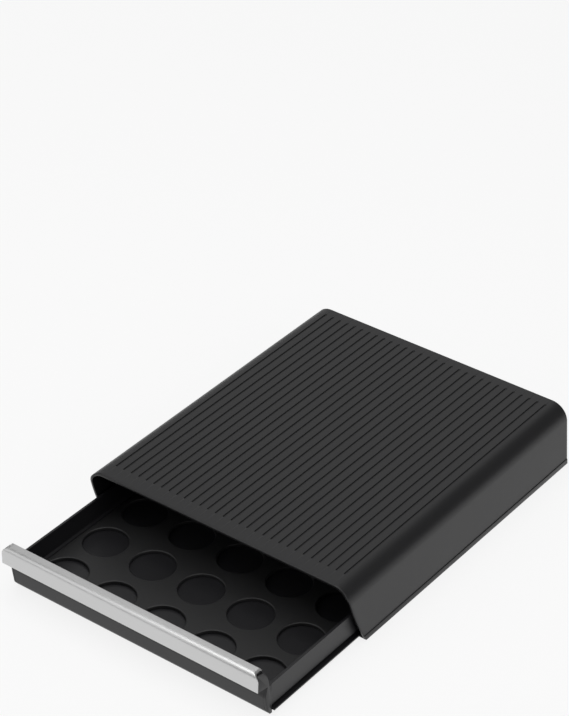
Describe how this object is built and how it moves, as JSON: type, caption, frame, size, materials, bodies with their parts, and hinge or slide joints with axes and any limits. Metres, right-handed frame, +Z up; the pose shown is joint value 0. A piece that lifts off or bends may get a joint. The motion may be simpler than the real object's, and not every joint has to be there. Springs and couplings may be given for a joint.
{
  "type": "coffee pod drawer",
  "caption": "Low black drawer unit that stands under a coffee machine: a grooved casing, and a sliding tray of pod seats with a silver handle.",
  "frame": {"origin": "middle of the whole object with the drawer at its rest opening, on the surface that the feet stand on", "axes": "+X to the right seen from the front, -Y the way the drawer opens, +Z up"},
  "size_m": [0.2786, 0.4328, 0.0603],
  "materials": {
    "casing_plastic": "fine matte texture",
    "drawer_plastic": "fine matte texture",
    "rack_plastic": "matte",
    "runner_plastic": "smooth",
    "glide_plastic": "smooth",
    "handle_silver": "satin",
    "foot_rubber": "matte",
    "buffer_rubber": "matte",
    "screw_steel": "zinc plated"
  },
  "bodies": {
    "casing": {"casing_shell": "casing_plastic", "back_panel": "casing_plastic", "back_panel_screws": "screw_steel", "left_buffer": "buffer_rubber", "right_buffer": "buffer_rubber", "left_runner": "runner_plastic", "right_runner": "runner_plastic", "front_left_foot": "foot_rubber", "front_right_foot": "foot_rubber", "rear_left_foot": "foot_rubber", "rear_right_foot": "foot_rubber"},
    "drawer": {"drawer_tray": "drawer_plastic", "front_pod_rack": "rack_plastic", "rear_pod_rack": "rack_plastic", "left_glide": "glide_plastic", "right_glide": "glide_plastic", "front_panel": "drawer_plastic", "left_end_cap": "drawer_plastic", "right_end_cap": "drawer_plastic", "handle_trim": "handle_silver", "front_panel_screws": "screw_steel"}
  },
  "joints": [
    {"name": "drawer_slide", "type": "slide", "parent": "casing", "child": "drawer", "axis": [0, -1, 0], "range_m": [-0.0968, 0.1332]}
  ]
}
